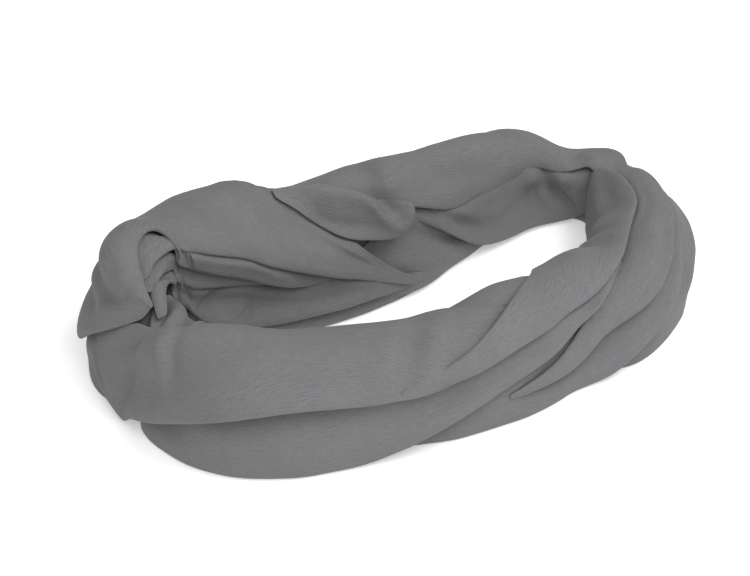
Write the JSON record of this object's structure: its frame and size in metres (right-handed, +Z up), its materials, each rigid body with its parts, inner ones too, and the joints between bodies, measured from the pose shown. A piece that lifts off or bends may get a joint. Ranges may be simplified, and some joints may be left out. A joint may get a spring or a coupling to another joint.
{
  "type": "tube bandana",
  "caption": "Plain grey knitted tube bandana, gathered into a ring and laid down on a flat surface, with long soft pleats round an open middle.",
  "frame": {"origin": "centre of the bounding box in plan, on the surface that the cloth lies on", "axes": "+X along the ring's long side, to the right as the picture shows it; +Y to the back, across the ring; +Z up, out of the surface"},
  "size_m": [0.2396, 0.1476, 0.0614],
  "materials": {
    "cloth": "matt"
  },
  "bodies": {
    "root": {"back_lower": "cloth", "core": "cloth", "front_inner": "cloth", "front_lower": "cloth", "front_panel": "cloth", "inner_hem": "cloth", "inner_left": "cloth", "inner_pleat_1": "cloth", "inner_pleat_2": "cloth", "inner_pleat_3": "cloth", "pleat_knuckle": "cloth", "pleat_outer": "cloth", "pleat_spindle": "cloth", "pleat_thin": "cloth", "pleat_under": "cloth", "rear_foot": "cloth", "rear_left_drape": "cloth", "rear_right_drape": "cloth", "rear_right_under": "cloth", "rolled_fold": "cloth"}
  },
  "joints": []
}
